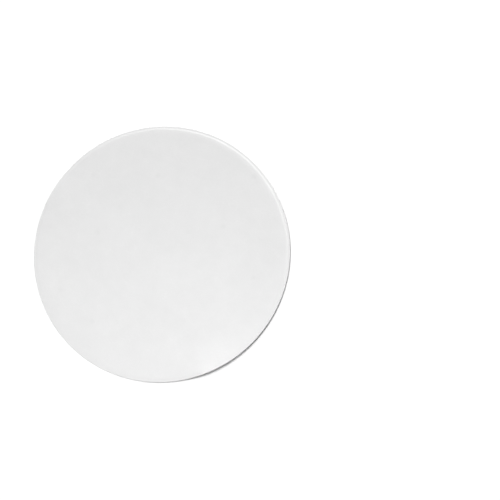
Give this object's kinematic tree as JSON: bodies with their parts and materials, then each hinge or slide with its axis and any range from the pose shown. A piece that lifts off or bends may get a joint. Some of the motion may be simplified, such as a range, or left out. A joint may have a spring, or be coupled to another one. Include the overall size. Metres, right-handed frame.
{
  "type": "filter paper disc",
  "caption": "Flat round disc of thick, soft white filter paper with a die-cut edge, for lying on a perforated funnel plate or clamping in a holder.",
  "frame": {"origin": "centre of the underside, on the surface that the disc lies on", "axes": "+Z along the disc's axis, up out of the felt face; +X and +Y lie in the plane of the sheet, and the disc is the same in each direction"},
  "size_m": [0.09, 0.09, 0.0004],
  "materials": {
    "filter_paper": "matte"
  },
  "bodies": {
    "root": {"filter_disc": "filter_paper"}
  },
  "joints": []
}
